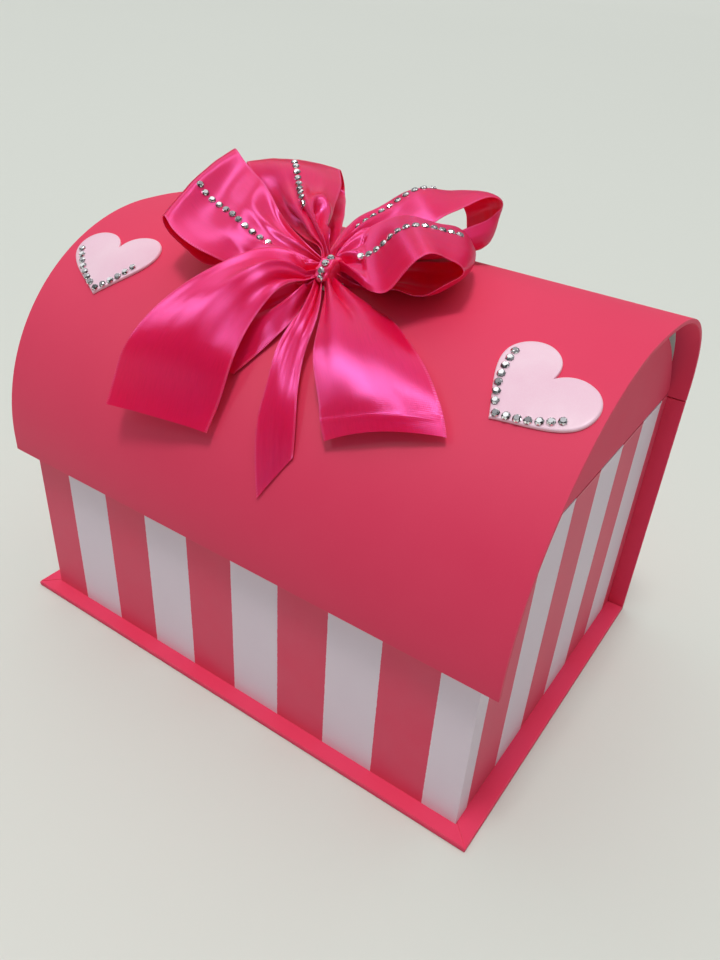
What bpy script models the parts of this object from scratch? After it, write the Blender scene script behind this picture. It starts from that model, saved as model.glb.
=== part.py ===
"""Wedding card box: a striped greyboard box on a base board, with a hinged curved lid and a ribbon bow.

Metres, +Z up, +X to the right, -Y to the front. The origin is on the floor under the middle of the box.
"""
import bpy
import bmesh
import math
from mathutils import Matrix, Vector

MM = 0.001
GAP = 0.3 * MM                      # clearance between pieces that touch

# case: the base board, the back board and the curved cover share one width
CASE_W = 304 * MM
CASE_D = 213 * MM
BASE_T = 2.4 * MM
BACK_T = 1.8 * MM
CREASE_Z = 150.5 * MM               # the paper hinge of the lid
CREASE_HALF = 0.5 * MM

# tray
TRAY_W = 284 * MM
TRAY_FRONT_Y = -97.8 * MM
TRAY_REAR_Y = 103.8 * MM
TRAY_TOP_Z = 151.9 * MM
TRAY_FRONT_TOP_Z = 124 * MM         # the front is lower, hidden by the flap
SHOULDER_R = 106 * MM               # the sides' front corners follow the lid's arc
BOARD_T = 2.0 * MM
PAPER_T = 0.4 * MM

# lid
LID_ARC_Y = 7.2 * MM                # centre of the front arc
LID_ARC_Z = 106.5 * MM
LID_ARC_R = 111 * MM                # outer radius of the front arc
FLAP_Z = 98.4 * MM                  # lower edge of the flap
LID_REAR_Z = 152 * MM               # where the rear shoulder becomes upright
LID_REAR_POWER = 2.5                # fullness of the rear shoulder
COVER_T = 2.2 * MM
END_BOTTOM_Z = 152.6 * MM
LINING_T = 0.3 * MM

# ribbon and trimmings
RIBBON_T = 0.8 * MM
STONE_D = 3.6 * MM
STONE_H = 1.2 * MM
STONE_PITCH = 4.4 * MM              # on the hearts
CARRIER_T = 0.4 * MM
CARRIER_W = 2.4 * MM
HEART_T = 1.6 * MM
KNOT_AT = (7 * MM, 33.8 * MM, 9.5 * MM)          # across, down the lid, above the lid
KNOT_R = (4.2 * MM, 8.2 * MM, 6.4 * MM)

# Loops: each station is the near edge, the middle and the far edge of the ribbon, in millimetres.
LOOPS = {
    "bow_loop_left": [
        ((-2, -29, 221), (-4, -24, 221), (-5, -20, 223)),
        ((-20, -38, 219), (-24, -25, 224), (-25, -15, 229)),
        ((-40, -44, 217), (-45, -27, 230), (-50, -4, 241)),
        ((-54, -53, 224), (-64, -25, 237), (-66, 1, 250)),
        ((-70, -53, 231), (-75, -25, 242), (-76, 4, 254)),
        ((-78, -49, 233), (-82, -22, 245), (-82, 7, 255)),
        ((-80, -47, 228), (-85, -18, 240), (-85, 10, 251)),
        ((-68, -46, 218), (-75, -21, 229), (-76, 4, 239)),
        ((-46, -40, 213), (-49, -26, 218), (-49, -11, 224)),
        ((-4, -26, 217), (-5, -21, 217), (-6, -17, 218)),
    ],
    "bow_loop_back": [
        ((-8, -17, 227), (-7, -16, 228), (-4, -15, 227)),
        ((-34, -2, 226), (-25, -5, 237), (-15, 0, 232)),
        ((-58, 7, 235), (-43, 11, 244), (-26, 21, 238)),
        ((-78, 15, 244), (-58, 26, 250), (-37, 39, 244)),
        ((-88, 22, 247), (-67, 35, 250), (-43, 47, 246)),
        ((-91, 27, 242), (-70, 40, 245), (-43, 50, 239)),
        ((-74, 20, 230), (-55, 28, 231), (-30, 34, 230)),
        ((-38, 0, 221), (-28, 3, 224), (-13, 5, 223)),
        ((-9, -14, 221), (-7, -13, 222), (-5, -12, 221)),
    ],
    "bow_loop_right": [
        ((3, -17, 225), (0, -14, 226), (-3, -12, 225)),
        ((17, 1, 229), (0, 9, 234), (-11, 22, 230)),
        ((32, 22, 239), (10, 38, 246), (-2, 57, 236)),
        ((38, 39, 245), (20, 57, 246), (7, 74, 236)),
        ((44, 53, 247), (29, 69, 244), (12, 81, 234)),
        ((48, 59, 244), (37, 74, 240), (17, 83, 228)),
        ((47, 57, 239), (42, 68, 232), (21, 78, 222)),
        ((40, 42, 234), (45, 52, 224), (28, 64, 218)),
        ((30, 21, 229), (34, 27, 221), (21, 41, 220)),
        ((4, -15, 221), (2, -12, 221), (-1, -9, 221)),
    ],
    "bow_loop_front": [
        ((10, -27, 223), (7, -23, 224), (5, -19, 225)),
        ((36, -40, 223), (18, -21, 229), (7, -2, 235)),
        ((52, -42, 232), (29, -15, 238), (16, 10, 240)),
        ((60, -35, 242), (39, -9, 244), (26, 16, 241)),
        ((66, -26, 241), (50, 0, 243), (38, 22, 239)),
        ((70, -20, 234), (61, 6, 235), (47, 28, 233)),
        ((69, -22, 231), (64, 3, 229), (54, 25, 229)),
        ((62, -28, 225), (59, -8, 223), (51, 13, 227)),
        ((45, -27, 220), (41, -15, 220), (36, -1, 225)),
        ((12, -26, 217), (10, -22, 218), (8, -18, 219)),
    ],
}

# Tails: each station is the left edge and the right edge, then how far the middle bulges. An edge is
# given on the unrolled lid, in millimetres: across, down from the ridge, and above the surface.
TAILS = {
    "tail_left": [
        ((-4, 37, 11), (0, 43, 8), 0),
        ((-20, 39, 16), (-4, 51, 12), 3),
        ((-36, 58, 20), (-7, 62, 12), 4),
        ((-51, 78, 20), (-8, 75, 11), 4),
        ((-62, 98, 17), (-8, 89, 9), 3),
        ((-66, 112, 13), (-8, 104, 6), 2),
        ((-67, 127, 10), (-10.5, 122, 2.2), 1),
    ],
    "tail_under": [
        ((-3, 45, 6), (2, 43, 5), 0),
        ((-10, 53, 7), (4, 55, 4), 1),
        ((-20, 63, 7), (3, 66, 3), 1),
        ((-30, 77, 5), (-3, 81, 2), 1),
        ((-36, 92, 3), (-10, 94, 1.2), 1),
    ],
    "tail_middle": [
        ((3, 42, 7), (7, 40, 7), 0),
        ((9, 59, 9), (18, 60, 7), 1),
        ((10, 78, 9), (22, 75, 6), 1),
        ((12, 93, 7), (27, 90, 5), 1),
        ((13.5, 107, 4.5), (31, 101, 3), 1),
        ((17.3, 122, 2.5), (34, 110, 2.2), 0.5),
        ((22.8, 142, 1.2), (35.8, 118, 1.5), 0),
    ],
    "tail_right": [
        ((7, 38, 8), (9, 35, 6), 0),
        ((16, 51, 10), (27, 41, 4), 2),
        ((25, 66, 12), (41, 42, 3), 3),
        ((32, 80, 11), (63, 54, 6), 4),
        ((41, 93, 7.5), (81, 67, 6), 4),
        ((45, 100, 5.2), (95, 81, 4.2), 3),
        ((49.5, 106, 3), (99, 87, 2.5), 2),
    ],
}

# Rows of stones on the loops: distance of the first stone along the ribbon from the knot, how many, pitch.
LOOP_STONES = {
    "bow_loop_left": (29 * MM, 11, 4.9 * MM),
    "bow_loop_back": (20 * MM, 11, 5.0 * MM),
    "bow_loop_right": (20 * MM, 10, 5.3 * MM),
    "bow_loop_front": (13 * MM, 13, 4.1 * MM),
}
KNOT_STONES = 4
KNOT_FIRST_ANGLE = -18              # of the first stone on the knot, from its top forwards, in degrees
KNOT_STONE_STEP = 35
PAD_HALF = (4.5 * MM, 3.5 * MM)     # half sizes of the foam pad under the knot

# Hearts: tip across and down the lid, and how far each leans to the right, in degrees.
HEARTS = {
    "heart_left": (-115 * MM, 81.5 * MM, -10),
    "heart_right": (110 * MM, 73 * MM, 31),
}
HEART_EDGE_ANGLE = 47               # from the tip to the widest point, in degrees
# Each row on a heart: which side, distance of the first stone from the tip in millimetres, how many.
HEART_ROWS = {
    "heart_left_stones_left": ("heart_left", -1, 7.6, 7),
    "heart_left_stones_right": ("heart_left", 1, 2.6, 6),
    "heart_right_stones_left": ("heart_right", -1, 7.6, 7),
    "heart_right_stones_right": ("heart_right", 1, 2.6, 7),
}


# ---------------------------------------------------------------- materials and mesh helpers

def material(name, colour, roughness, metallic=0.0):
    """A Principled material with a plain colour."""
    mat = bpy.data.materials.new(name)
    mat.use_nodes = True
    mat.diffuse_color = (*colour, 1)
    shader = mat.node_tree.nodes["Principled BSDF"]
    shader.inputs["Base Color"].default_value = (*colour, 1)
    shader.inputs["Roughness"].default_value = roughness
    shader.inputs["Metallic"].default_value = metallic
    return mat


def add_object(name, mesh, mat, parent, sharp_angle=None):
    """Link a mesh as a named object; sharp_angle in degrees turns on smooth shading."""
    mesh.materials.append(mat)
    if sharp_angle is not None:
        mesh.shade_smooth()
        mesh.set_sharp_from_angle(angle=math.radians(sharp_angle))
    obj = bpy.data.objects.new(name, mesh)
    bpy.context.collection.objects.link(obj)
    if parent is not None:
        obj.parent = parent
        obj.matrix_parent_inverse = Matrix.Translation(-parent.location)
    return obj


def mesh_from(bm, name):
    """Turn a bmesh into a mesh with its faces pointing out."""
    bmesh.ops.recalc_face_normals(bm, faces=bm.faces)
    mesh = bpy.data.meshes.new(name)
    bm.to_mesh(mesh)
    bm.free()
    return mesh


def board(name, low, high, mat, parent):
    """A flat rectangular board between two corners."""
    bm = bmesh.new()
    bmesh.ops.create_cube(bm, size=1)
    for vert in bm.verts:
        for axis in range(3):
            vert.co[axis] = low[axis] if vert.co[axis] < 0 else high[axis]
    return add_object(name, mesh_from(bm, name), mat, parent)


def extrude_x(name, outline, x_low, x_high, mat, parent, sharp_angle=None):
    """A prism along X over a closed outline of (y, z) points."""
    bm = bmesh.new()
    near = [bm.verts.new((x_low, y, z)) for y, z in outline]
    face = bm.faces.new(near)
    result = bmesh.ops.extrude_face_region(bm, geom=[face])
    moved = [item for item in result["geom"] if isinstance(item, bmesh.types.BMVert)]
    bmesh.ops.translate(bm, verts=moved, vec=(x_high - x_low, 0, 0))
    return add_object(name, mesh_from(bm, name), mat, parent, sharp_angle)


def thick_sheet(grid, normals, thickness):
    """A closed bmesh: the grid of points thickened to both sides of its surface."""
    bm = bmesh.new()
    rows, columns = len(grid), len(grid[0])
    sides = []
    for sign in (0.5, -0.5):
        layer = []
        for i in range(rows):
            layer.append([bm.verts.new(grid[i][j] + normals[i][j] * (sign * thickness))
                          for j in range(columns)])
        sides.append(layer)
    top, bottom = sides
    for i in range(rows - 1):
        for j in range(columns - 1):
            bm.faces.new((top[i][j], top[i][j + 1], top[i + 1][j + 1], top[i + 1][j]))
            bm.faces.new((bottom[i][j], bottom[i + 1][j], bottom[i + 1][j + 1], bottom[i][j + 1]))
    rim = [(i, 0) for i in range(rows)]
    rim += [(rows - 1, j) for j in range(1, columns)]
    rim += [(i, columns - 1) for i in range(rows - 2, -1, -1)]
    rim += [(0, j) for j in range(columns - 2, 0, -1)]
    for (i, j), (k, m) in zip(rim, rim[1:] + rim[:1]):
        bm.faces.new((top[i][j], top[k][m], bottom[k][m], bottom[i][j]))
    return bm


def cutter(name, mesh):
    """An object that only cuts or joins, hidden from renders."""
    obj = bpy.data.objects.new(name, mesh)
    bpy.context.collection.objects.link(obj)
    obj.display_type = "WIRE"
    obj.hide_render = True
    return obj


def boolean(obj, tool, operation):
    """Add a Boolean modifier with the exact solver."""
    modifier = obj.modifiers.new(tool.name, "BOOLEAN")
    modifier.operation = operation
    modifier.solver = "EXACT"
    modifier.object = tool


def grid_normals(grid):
    """Unit normals of a grid of points."""
    rows, columns = len(grid), len(grid[0])
    normals = []
    for i in range(rows):
        line = []
        for j in range(columns):
            along = grid[min(i + 1, rows - 1)][j] - grid[max(i - 1, 0)][j]
            across = grid[i][min(j + 1, columns - 1)] - grid[i][max(j - 1, 0)]
            line.append(along.cross(across).normalized())
        normals.append(line)
    return normals


def smooth_curve(points, steps):
    """Catmull-Rom points through the given ones, with the same number of steps in each span."""
    padded = [2 * points[0] - points[1], *points, 2 * points[-1] - points[-2]]
    curve = []
    for i in range(1, len(padded) - 2):
        a, b, c, d = padded[i - 1:i + 3]
        for k in range(steps):
            t = k / steps
            curve.append(0.5 * (2 * b + (c - a) * t + (2 * a - 5 * b + 4 * c - d) * t * t
                                + (3 * b - a - 3 * c + d) * t * t * t))
    curve.append(points[-1])
    return curve


def at_length(curve, length):
    """Position along a list of points at a distance from its start, and the direction there."""
    for a, b in zip(curve, curve[1:]):
        step = (b - a).length
        if length <= step:
            return a.lerp(b, length / step), (b - a).normalized()
        length -= step
    return curve[-1], (curve[-1] - curve[-2]).normalized()


# ---------------------------------------------------------------- the lid's surface

def lid_profile(inset):
    """The cover's section from the flap's lower edge to the crease, moved inwards by inset."""
    outline = [(LID_ARC_Y - LID_ARC_R + inset, FLAP_Z)]
    arc_steps = 28
    for k in range(arc_steps + 1):
        angle = math.pi / 2 * k / arc_steps
        radius = LID_ARC_R - inset
        outline.append((LID_ARC_Y - radius * math.cos(angle), LID_ARC_Z + radius * math.sin(angle)))
    half_depth = CASE_D / 2 - LID_ARC_Y - inset
    rise = LID_ARC_Z + LID_ARC_R - LID_REAR_Z - inset
    shoulder_steps = 20
    for k in range(1, shoulder_steps + 1):
        angle = math.pi / 2 * (1 - k / shoulder_steps)
        across = max(math.cos(angle), 0) ** (2 / LID_REAR_POWER)
        up = max(math.sin(angle), 0) ** (2 / LID_REAR_POWER)
        outline.append((LID_ARC_Y + half_depth * across, LID_REAR_Z + rise * up))
    return outline


def lid_point(across, down, above):
    """A point over the front half of the lid, from its place on the unrolled cover."""
    radius = LID_ARC_R + above
    quarter = LID_ARC_R * math.pi / 2
    if down <= quarter:
        angle = down / LID_ARC_R
        return Vector((across, LID_ARC_Y - radius * math.sin(angle), LID_ARC_Z + radius * math.cos(angle)))
    return Vector((across, LID_ARC_Y - radius, LID_ARC_Z - (down - quarter)))


def lid_normal(down):
    """The outward normal of the lid at a distance down from its ridge."""
    angle = min(down / LID_ARC_R, math.pi / 2)
    return Vector((0, -math.sin(angle), math.cos(angle)))


# ---------------------------------------------------------------- case and tray

def make_case(box, coral):
    """The base board, the back board and the paper on its back that hinges the lid."""
    half_w, half_d = CASE_W / 2, CASE_D / 2
    back_out = half_d - PAPER_T - GAP
    back_in = back_out - BACK_T
    board("base_board", (-half_w, -half_d, 0), (half_w, back_in - GAP, BASE_T), coral, box)
    board("back_board", (-half_w, back_in, 0), (half_w, back_out, CREASE_Z - CREASE_HALF), coral, box)
    paper_bottom = 1.0 * MM
    board("back_paper", (-half_w, half_d - PAPER_T, paper_bottom), (half_w, half_d, CREASE_Z - GAP),
          coral, box)


def u_outline(half_w, front, rear, thickness):
    """Outline in plan of a strip along the left side, the front and the right side."""
    return [(-half_w, rear), (-half_w, front), (half_w, front), (half_w, rear),
            (half_w - thickness, rear), (half_w - thickness, front + thickness),
            (-half_w + thickness, front + thickness), (-half_w + thickness, rear)]


def shoulder_arc():
    """Points of the sides' rounded front corner, from the front wall's top to the sides' top."""
    start = math.asin((TRAY_FRONT_TOP_Z - LID_ARC_Z) / SHOULDER_R)
    end = math.asin((TRAY_TOP_Z - LID_ARC_Z) / SHOULDER_R)
    steps = 6
    angles = [start + (end - start) * k / steps for k in range(steps + 1)]
    return [(LID_ARC_Y - SHOULDER_R * math.cos(a), LID_ARC_Z + SHOULDER_R * math.sin(a)) for a in angles]


def cut_shoulder(obj, inner_y):
    """Cut away what stands over the front wall and outside the rounded corners."""
    name = obj.name + "_cutter"
    margin = 5 * MM
    ahead, over = TRAY_FRONT_Y - margin, TRAY_TOP_Z + margin
    arc = [point for point in shoulder_arc() if point[0] > inner_y]
    outline = [(ahead, TRAY_FRONT_TOP_Z), (inner_y, TRAY_FRONT_TOP_Z), *arc]
    outline += [(arc[-1][0], over), (ahead, over)]
    bm = bmesh.new()
    face = bm.faces.new([bm.verts.new((-TRAY_W, y, z)) for y, z in outline])
    result = bmesh.ops.extrude_face_region(bm, geom=[face])
    moved = [item for item in result["geom"] if isinstance(item, bmesh.types.BMVert)]
    bmesh.ops.translate(bm, verts=moved, vec=(2 * TRAY_W, 0, 0))
    boolean(obj, cutter(name, mesh_from(bm, name)), "DIFFERENCE")


def make_tray(box, striped, grey, white):
    """Five boards, the striped wrap outside them and the white lining inside."""
    bottom = BASE_T + GAP
    half_w = TRAY_W / 2
    bm = bmesh.new()
    ring = [bm.verts.new((x, y, bottom)) for x, y in u_outline(half_w, TRAY_FRONT_Y, TRAY_REAR_Y, PAPER_T)]
    face = bm.faces.new(ring)
    result = bmesh.ops.extrude_face_region(bm, geom=[face])
    moved = [item for item in result["geom"] if isinstance(item, bmesh.types.BMVert)]
    bmesh.ops.translate(bm, verts=moved, vec=(0, 0, TRAY_TOP_Z - bottom))
    wrap = add_object("stripe_wrap", mesh_from(bm, "stripe_wrap"), striped, box)
    cut_shoulder(wrap, TRAY_FRONT_Y + PAPER_T)

    outer_w = half_w - PAPER_T - GAP
    inner_w = outer_w - BOARD_T
    front_out = TRAY_FRONT_Y + PAPER_T + GAP
    front_in = front_out + BOARD_T
    rear_out = TRAY_REAR_Y
    rear_in = rear_out - BOARD_T
    top = TRAY_TOP_Z
    board("tray_front", (-outer_w, front_out, bottom), (outer_w, front_in, TRAY_FRONT_TOP_Z), grey, box)
    board("tray_rear", (-outer_w, rear_in, bottom), (outer_w, rear_out, top), grey, box)
    side_front = front_in + GAP
    shoulder = [point for point in shoulder_arc() if point[0] > side_front]
    outline = [(side_front, bottom), (side_front, TRAY_FRONT_TOP_Z), *shoulder,
               (rear_in - GAP, top), (rear_in - GAP, bottom)]
    for name, side in (("tray_left", -1), ("tray_right", 1)):
        xs = sorted((side * outer_w, side * inner_w))
        extrude_x(name, outline, xs[0], xs[1], grey, box)
    floor_top = bottom + BOARD_T
    board("tray_floor", (-inner_w + GAP, side_front, bottom), (inner_w - GAP, rear_in - GAP, floor_top),
          grey, box)

    bm = bmesh.new()
    bmesh.ops.create_cube(bm, size=1)
    low = (-inner_w + GAP, side_front, floor_top + GAP)
    high = (inner_w - GAP, rear_in - GAP, top)
    for vert in bm.verts:
        for axis in range(3):
            vert.co[axis] = low[axis] if vert.co[axis] < 0 else high[axis]
    upper = max(bm.faces, key=lambda item: item.calc_center_median().z)
    bmesh.ops.inset_region(bm, faces=[upper], thickness=LINING_T, use_even_offset=True)
    bmesh.ops.translate(bm, verts=upper.verts, vec=(0, 0, floor_top + GAP + LINING_T - top))
    lining = add_object("tray_lining", mesh_from(bm, "tray_lining"), white, box)
    cut_shoulder(lining, side_front + LINING_T + GAP)


# ---------------------------------------------------------------- lid

def make_lid(lid, coral, white):
    """The curved cover with its flap, its two arched ends and its lining."""
    half_w = CASE_W / 2
    outer = lid_profile(0)
    outer.append((CASE_D / 2, CREASE_Z + CREASE_HALF))
    inner = lid_profile(COVER_T)
    inner.append((CASE_D / 2 - COVER_T, CREASE_Z + CREASE_HALF))
    extrude_x("lid_cover", outer + inner[::-1], -half_w, half_w, coral, lid, 30)

    radius = LID_ARC_R - COVER_T - GAP
    rear = TRAY_REAR_Y
    front_angle = math.acos((END_BOTTOM_Z - LID_ARC_Z) / radius)
    rear_angle = math.asin((rear - LID_ARC_Y) / radius)
    steps = 40
    arch = []
    for k in range(steps + 1):
        angle = -front_angle + (front_angle + rear_angle) * k / steps
        arch.append((LID_ARC_Y + radius * math.sin(angle), LID_ARC_Z + radius * math.cos(angle)))
    arch.append((rear, END_BOTTOM_Z))
    outside = TRAY_W / 2
    for name, side in (("lid_end_left", -1), ("lid_end_right", 1)):
        xs = sorted((side * outside, side * (outside - BOARD_T)))
        extrude_x(name, arch, xs[0], xs[1], coral, lid, 30)

    lining_out = lid_profile(COVER_T + GAP)[1:-1]
    lining_in = lid_profile(COVER_T + GAP + LINING_T)[1:-1]
    lining_half = outside - BOARD_T - GAP
    extrude_x("lid_lining", lining_out + lining_in[::-1], -lining_half, lining_half, white, lid, 30)


# ---------------------------------------------------------------- bow

def loop_rails(stations):
    """The near edge, middle and far edge of a loop as smooth curves."""
    steps = 3
    return [smooth_curve([Vector(station[k]) * MM for station in stations], steps) for k in range(3)]


def across_points(near, middle, far, columns):
    """Points across a ribbon on the parabola through its two edges and its middle."""
    points = []
    for k in range(columns):
        t = 2 * k / (columns - 1) - 1
        points.append(middle + (far - near) * (t / 2) + ((near + far) / 2 - middle) * (t * t))
    return points


def tail_rails(stations):
    """The left edge, middle and right edge of a tail as smooth curves."""
    steps = 3
    left, middle, right = [], [], []
    for (xa, da, ha), (xb, db, hb), bulge in stations:
        left.append(Vector((xa, da, ha)) * MM)
        right.append(Vector((xb, db, hb)) * MM)
        middle.append((left[-1] + right[-1]) / 2 + Vector((0, 0, bulge * MM)))
    flat = [smooth_curve(rail, steps) for rail in (left, middle, right)]
    return [[lid_point(*point) for point in rail] for rail in flat]


def ribbon(name, rails, mat, parent):
    """A strip of ribbon over three rails."""
    columns = 5
    grid = [across_points(*points, columns) for points in zip(*rails)]
    mesh = mesh_from(thick_sheet(grid, grid_normals(grid), RIBBON_T), name)
    return add_object(name, mesh, mat, parent, 50)


def knot_solid(grow):
    """The rounded knot as a bmesh, larger all round by grow."""
    bm = bmesh.new()
    bmesh.ops.create_uvsphere(bm, u_segments=20, v_segments=12, radius=1)
    across, down, above = KNOT_AT
    turn = Matrix.Rotation(down / LID_ARC_R, 4, "X")
    scale = Matrix.Diagonal((KNOT_R[0] + grow, KNOT_R[1] + grow, KNOT_R[2] + grow, 1))
    bm.transform(Matrix.Translation(lid_point(across, down, above)) @ turn @ scale)
    return bm


def stone_row(name, places, mat, parent):
    """Stones on one thin strip. Each place is a point on the surface, a direction and a normal."""
    strip_points = [places[0][0] - places[0][1] * (STONE_D / 2)]
    strip_points += [place[0] for place in places]
    strip_points.append(places[-1][0] + places[-1][1] * (STONE_D / 2))
    directions = [places[0][1], *[place[1] for place in places], places[-1][1]]
    lifts = [places[0][2], *[place[2] for place in places], places[-1][2]]
    grid, normals = [], []
    for point, direction, up in zip(strip_points, directions, lifts):
        side = direction.cross(up).normalized() * (CARRIER_W / 2)
        centre = point + up * (GAP + CARRIER_T / 2)
        grid.append([centre - side, centre + side])
        normals.append([up, up])
    row = add_object(name, mesh_from(thick_sheet(grid, normals, CARRIER_T), name), mat, parent)

    stones = bmesh.new()
    for point, direction, up in places:
        side = direction.cross(up).normalized()
        frame = Matrix((side, up.cross(side), up)).transposed().to_4x4()
        frame.translation = point + up * (GAP + CARRIER_T / 2 + STONE_H / 2)
        bmesh.ops.create_cone(stones, cap_ends=True, segments=8, radius1=STONE_D / 2,
                              radius2=STONE_D * 0.3, depth=STONE_H, matrix=frame)
    boolean(row, cutter(name + "_stones", mesh_from(stones, name + "_stones")), "UNION")
    return row


def places_on(rail, rails, first, count, pitch):
    """Evenly spaced places along a rail, on the upper face of its ribbon."""
    places = []
    for k in range(count):
        point, direction = at_length(rail, first + k * pitch)
        index = min(range(len(rail)), key=lambda i: (rail[i] - point).length)
        across = (rails[2][index] - rails[0][index]).normalized()
        up = direction.cross(across).normalized()
        if up.z < 0:
            up = -up
        places.append((point + up * (RIBBON_T / 2 + GAP), direction, up))
    return places


def make_bow(lid, satin, stone, white):
    """The knot on its pad, four loops, four tails and the stones on them."""
    across, down, above = KNOT_AT
    add_object("bow_knot", mesh_from(knot_solid(0), "bow_knot"), satin, lid, 60)
    pad_top = above - KNOT_R[2] - 2 * GAP
    pad_mid = (GAP + pad_top) / 2
    rows = 5
    grid, normals = [], []
    for i in range(rows):
        place = down + PAD_HALF[1] * (2 * i / (rows - 1) - 1)
        grid.append([lid_point(across + x, place, pad_mid) for x in (-PAD_HALF[0], PAD_HALF[0])])
        normals.append([lid_normal(place)] * 2)
    pad = mesh_from(thick_sheet(grid, normals, pad_top - GAP), "bow_pad")
    add_object("bow_pad", pad, white, lid)

    trim = cutter("knot_clearance", mesh_from(knot_solid(1.5 * GAP), "knot_clearance"))
    for name, stations in LOOPS.items():
        rails = loop_rails(stations)
        boolean(ribbon(name, rails, satin, lid), trim, "DIFFERENCE")
        stone_row(name + "_stones", places_on(rails[1], rails, *LOOP_STONES[name]), stone, lid)
    for name, stations in TAILS.items():
        boolean(ribbon(name, tail_rails(stations), satin, lid), trim, "DIFFERENCE")

    centre = lid_point(across, down, above)
    turn = Matrix.Rotation(down / LID_ARC_R, 3, "X")
    places = []
    for k in range(KNOT_STONES):
        angle = math.radians(KNOT_FIRST_ANGLE + KNOT_STONE_STEP * k)
        up = turn @ Vector((0, -math.sin(angle) / KNOT_R[1], math.cos(angle) / KNOT_R[2])).normalized()
        rim = turn @ Vector((0, -KNOT_R[1] * math.sin(angle), KNOT_R[2] * math.cos(angle)))
        direction = Vector((1, 0, 0)).cross(up).normalized()
        places.append((centre + rim + up * GAP, direction, up))
    stone_row("bow_knot_stones", places, stone, lid)


# ---------------------------------------------------------------- hearts

def bezier(a, b, c, d, steps):
    """Points of a cubic Bezier curve, without its last point."""
    points = []
    for k in range(steps):
        t = k / steps
        s = 1 - t
        points.append(tuple(s * s * s * a[i] + 3 * s * s * t * b[i] + 3 * s * t * t * c[i] + t * t * t * d[i]
                            for i in range(2)))
    return points


def heart_outline():
    """Right half then left half of a heart, in millimetres, with its tip at the origin."""
    half = bezier((0, 30), (2, 37), (7.5, 40.5), (14, 40.5), 5)
    half += bezier((14, 40.5), (21, 40.5), (26.3, 35), (26.3, 28), 5)
    half += bezier((26.3, 28), (26.3, 17), (9, 8), (0, 0), 7)
    mirrored = [(-x, y) for x, y in half[:0:-1]]
    return half + [(0, 0)] + mirrored


def heart_place(heart, x, y):
    """Across and down the lid for a point of a heart's own outline."""
    tip_across, tip_down, lean = HEARTS[heart]
    c, s = math.cos(math.radians(lean)), math.sin(math.radians(lean))
    return tip_across + (x * c + y * s) * MM, tip_down - (y * c - x * s) * MM


def make_heart(name, mat, parent):
    """A card heart that follows the lid's curve: rings from its rim to its middle, thickened."""
    outline = heart_outline()
    middle = (0, 22)
    shrink = (1, 0.66, 0.33)
    low = GAP
    bm = bmesh.new()
    layers = []
    for above in (low, low + HEART_T):
        rings = []
        for factor in shrink:
            ring = []
            for x, y in outline:
                inner_x = middle[0] + (x - middle[0]) * factor
                inner_y = middle[1] + (y - middle[1]) * factor
                ring.append(bm.verts.new(lid_point(*heart_place(name, inner_x, inner_y), above)))
            rings.append(ring)
        hub = bm.verts.new(lid_point(*heart_place(name, *middle), above))
        count = len(outline)
        for outer, inner in zip(rings, rings[1:]):
            for k in range(count):
                n = (k + 1) % count
                bm.faces.new((outer[k], outer[n], inner[n], inner[k]))
        for k in range(count):
            bm.faces.new((rings[-1][k], rings[-1][(k + 1) % count], hub))
        layers.append(rings[0])
    for k in range(len(outline)):
        n = (k + 1) % len(outline)
        bm.faces.new((layers[0][k], layers[0][n], layers[1][n], layers[1][k]))
    add_object(name, mesh_from(bm, name), mat, parent, 40)


def heart_row(name, mat, parent):
    """A row of stones inside one of a heart's lower edges, from near the tip upwards."""
    heart, side, first, count = HEART_ROWS[name]
    inset, bulge, edge_length = 2.6, 3.0, 38
    angle = math.radians(HEART_EDGE_ANGLE)
    spots = []
    for k in range(count):
        run = first + k * STONE_PITCH / MM
        inwards = inset - bulge * math.sin(math.pi * run / edge_length)
        x = side * (run * math.cos(angle) - inwards * math.sin(angle))
        y = run * math.sin(angle) + inwards * math.cos(angle)
        across, down = heart_place(heart, x, y)
        spots.append((lid_point(across, down, 2 * GAP + HEART_T), lid_normal(down)))
    places = []
    for k, (point, up) in enumerate(spots):
        ahead = spots[min(k + 1, count - 1)][0] - spots[max(k - 1, 0)][0]
        places.append((point, (ahead - up * ahead.dot(up)).normalized(), up))
    stone_row(name, places, mat, parent)


def main():
    for obj in list(bpy.data.objects):
        bpy.data.objects.remove(obj, do_unlink=True)

    coral = material("coral_paper", (0.80, 0.09, 0.17), 0.5)
    striped = material("striped_paper", (0.85, 0.82, 0.85), 0.5)
    grey = material("greyboard", (0.42, 0.40, 0.37), 0.8)
    white = material("lining_paper", (0.85, 0.85, 0.83), 0.7)
    satin = material("pink_satin", (0.80, 0.02, 0.15), 0.35)
    pink = material("pink_card", (0.93, 0.68, 0.78), 0.3)
    stone = material("rhinestone", (0.85, 0.87, 0.88), 0.1, 0.6)

    box = bpy.data.objects.new("box", None)
    lid = bpy.data.objects.new("lid", None)
    lid.location = (0, CASE_D / 2, CREASE_Z)
    for empty in (box, lid):
        bpy.context.collection.objects.link(empty)

    make_case(box, coral)
    make_tray(box, striped, grey, white)
    make_lid(lid, coral, white)
    make_bow(lid, satin, stone, white)
    for heart in HEARTS:
        make_heart(heart, pink, lid)
    for row in HEART_ROWS:
        heart_row(row, stone, lid)


main()
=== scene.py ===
"""Wedding card box: printed paper, satin ribbon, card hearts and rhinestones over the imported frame.

Metres, +Z up, -Y to the front, as in the frame. Ribbon stations are in millimetres.
"""
import math
import random

import bmesh
import bpy
import numpy as np
from mathutils import Matrix, Vector, noise


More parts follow.
